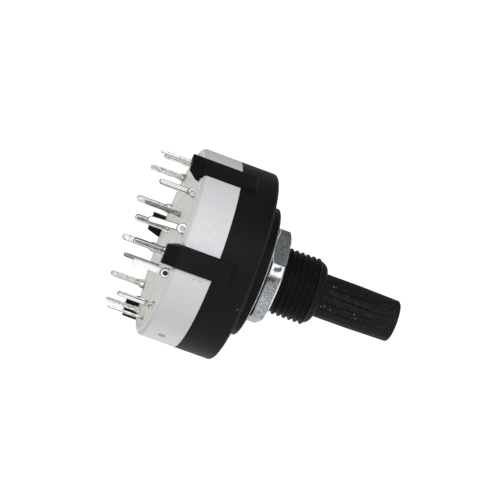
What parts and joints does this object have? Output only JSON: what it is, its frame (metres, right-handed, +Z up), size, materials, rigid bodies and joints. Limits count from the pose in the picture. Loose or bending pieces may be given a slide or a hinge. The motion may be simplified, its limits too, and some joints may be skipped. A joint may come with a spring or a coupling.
{
  "type": "rotary wafer switch",
  "caption": "Panel-mounted rotary wafer switch: splined shaft and threaded bushing on a round black housing, with a pale base of flat solder terminals behind it.",
  "frame": {"origin": "on the shaft's axis, in the plane of the flange's front face, where the panel seats", "axes": "+X along the shaft towards its tip, +Z up across the detent spring, +Y by the right-hand rule"},
  "size_m": [0.0371, 0.0268, 0.0268],
  "materials": {
    "black_moulding": "satin",
    "shaft_moulding": "satin",
    "pale_moulding": "satin",
    "zinc_plate": "zinc plated",
    "silver_plate": "silver plated",
    "contact_brass": "polished",
    "bearing_steel": "polished",
    "spring_steel": "drawn wire"
  },
  "bodies": {
    "switch_body": {"front_housing": "black_moulding", "terminal_base": "pale_moulding", "stop_ring": "zinc_plate", "hex_nut": "zinc_plate", "common_terminal_1": "silver_plate", "common_terminal_2": "silver_plate", "common_terminal_3": "silver_plate", "common_terminal_4": "silver_plate", "throw_terminal_01": "silver_plate", "throw_terminal_02": "silver_plate", "throw_terminal_03": "silver_plate", "throw_terminal_04": "silver_plate", "throw_terminal_05": "silver_plate", "throw_terminal_06": "silver_plate", "throw_terminal_07": "silver_plate", "throw_terminal_08": "silver_plate", "throw_terminal_09": "silver_plate", "throw_terminal_10": "silver_plate", "throw_terminal_11": "silver_plate", "throw_terminal_12": "silver_plate"},
    "rotor": {"shaft_rotor": "shaft_moulding", "detent_spring": "spring_steel", "wiper_1": "contact_brass", "wiper_2": "contact_brass", "wiper_3": "contact_brass", "wiper_4": "contact_brass"},
    "ball_a": {"detent_ball_a": "bearing_steel"},
    "ball_b": {"detent_ball_b": "bearing_steel"}
  },
  "joints": [
    {"name": "shaft_turn", "type": "hinge", "parent": "switch_body", "child": "rotor", "pos_m": [0, 0, 0], "axis": [1, 0, 0], "range_deg": [-30, 30]},
    {"name": "detent_ball_a_slide", "type": "slide", "parent": "rotor", "child": "ball_a", "axis": [0, 0, -1], "range_m": [0, 0.00033], "deforming": ["detent_spring"]},
    {"name": "detent_ball_b_slide", "type": "slide", "parent": "rotor", "child": "ball_b", "axis": [0, 0, 1], "range_m": [0, 0.00033], "deforming": ["detent_spring"]}
  ]
}
